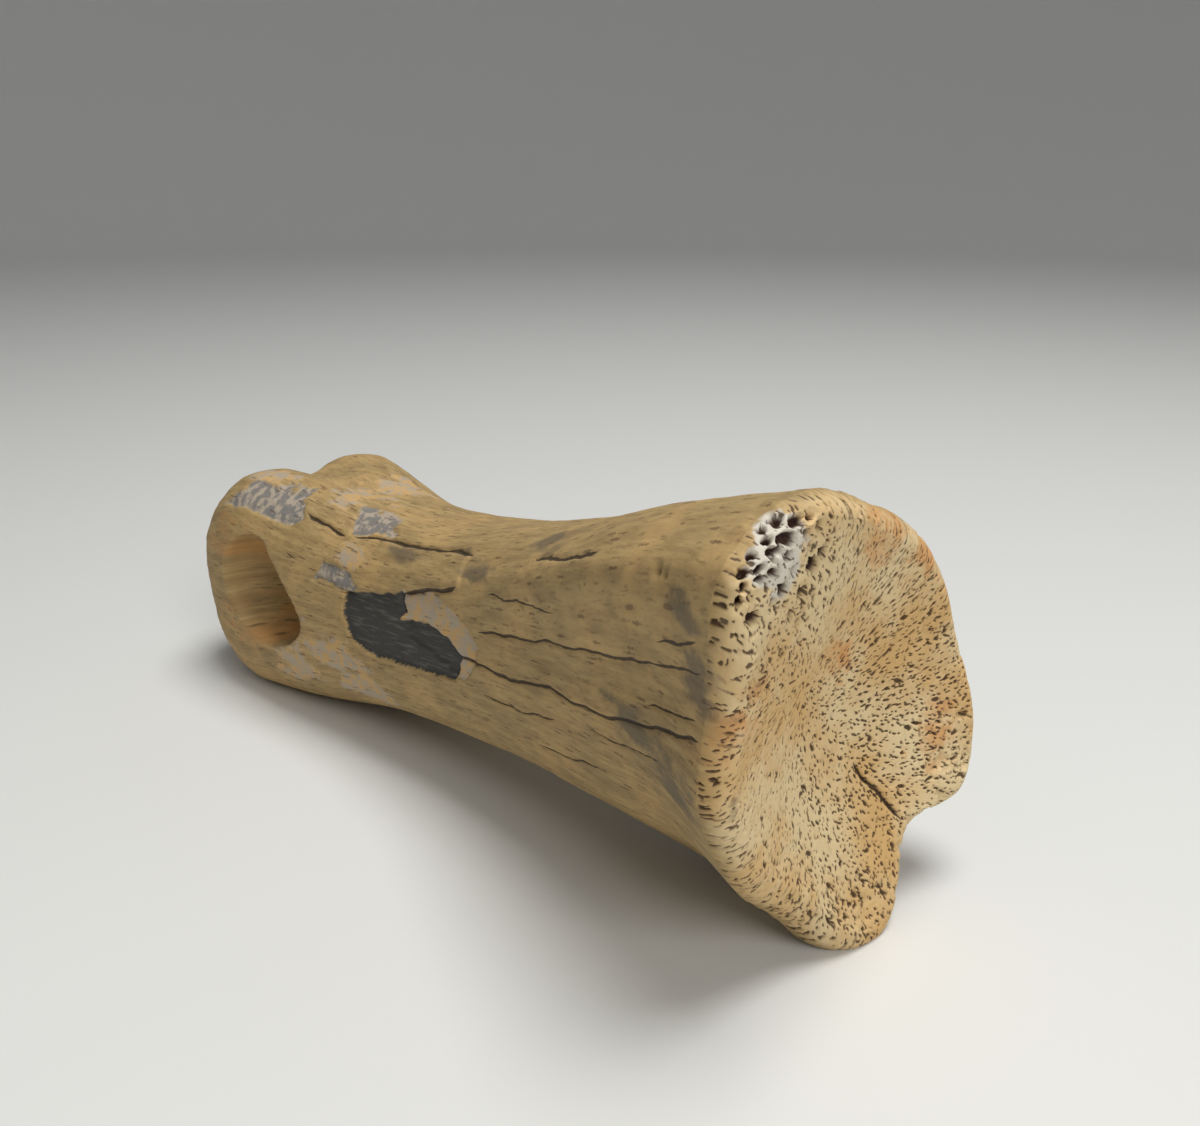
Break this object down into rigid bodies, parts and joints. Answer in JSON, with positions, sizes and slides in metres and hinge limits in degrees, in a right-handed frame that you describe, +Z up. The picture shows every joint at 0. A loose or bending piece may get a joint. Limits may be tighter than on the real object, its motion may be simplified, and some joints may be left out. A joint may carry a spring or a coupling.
{
  "type": "fossil dinosaur toe bone",
  "caption": "Fossil toe bone of a large meat-eating dinosaur, lying on its underside, with a cupped joint face at one end and a grooved pulley joint with ligament pits at the other.",
  "frame": {"origin": "middle of the bone's box, at the level of the floor it lies on", "axes": "+X along the bone towards the cupped joint face, +Y away from the side with the deep ligament pit, +Z up"},
  "size_m": [0.151, 0.0608, 0.067],
  "materials": {
    "fossil_bone": "dull, dry fossil bone: ochre and olive brown cortex with slate grey stains, paler porous joint ends"
  },
  "bodies": {
    "root": {"toe_bone": "fossil_bone"}
  },
  "joints": []
}
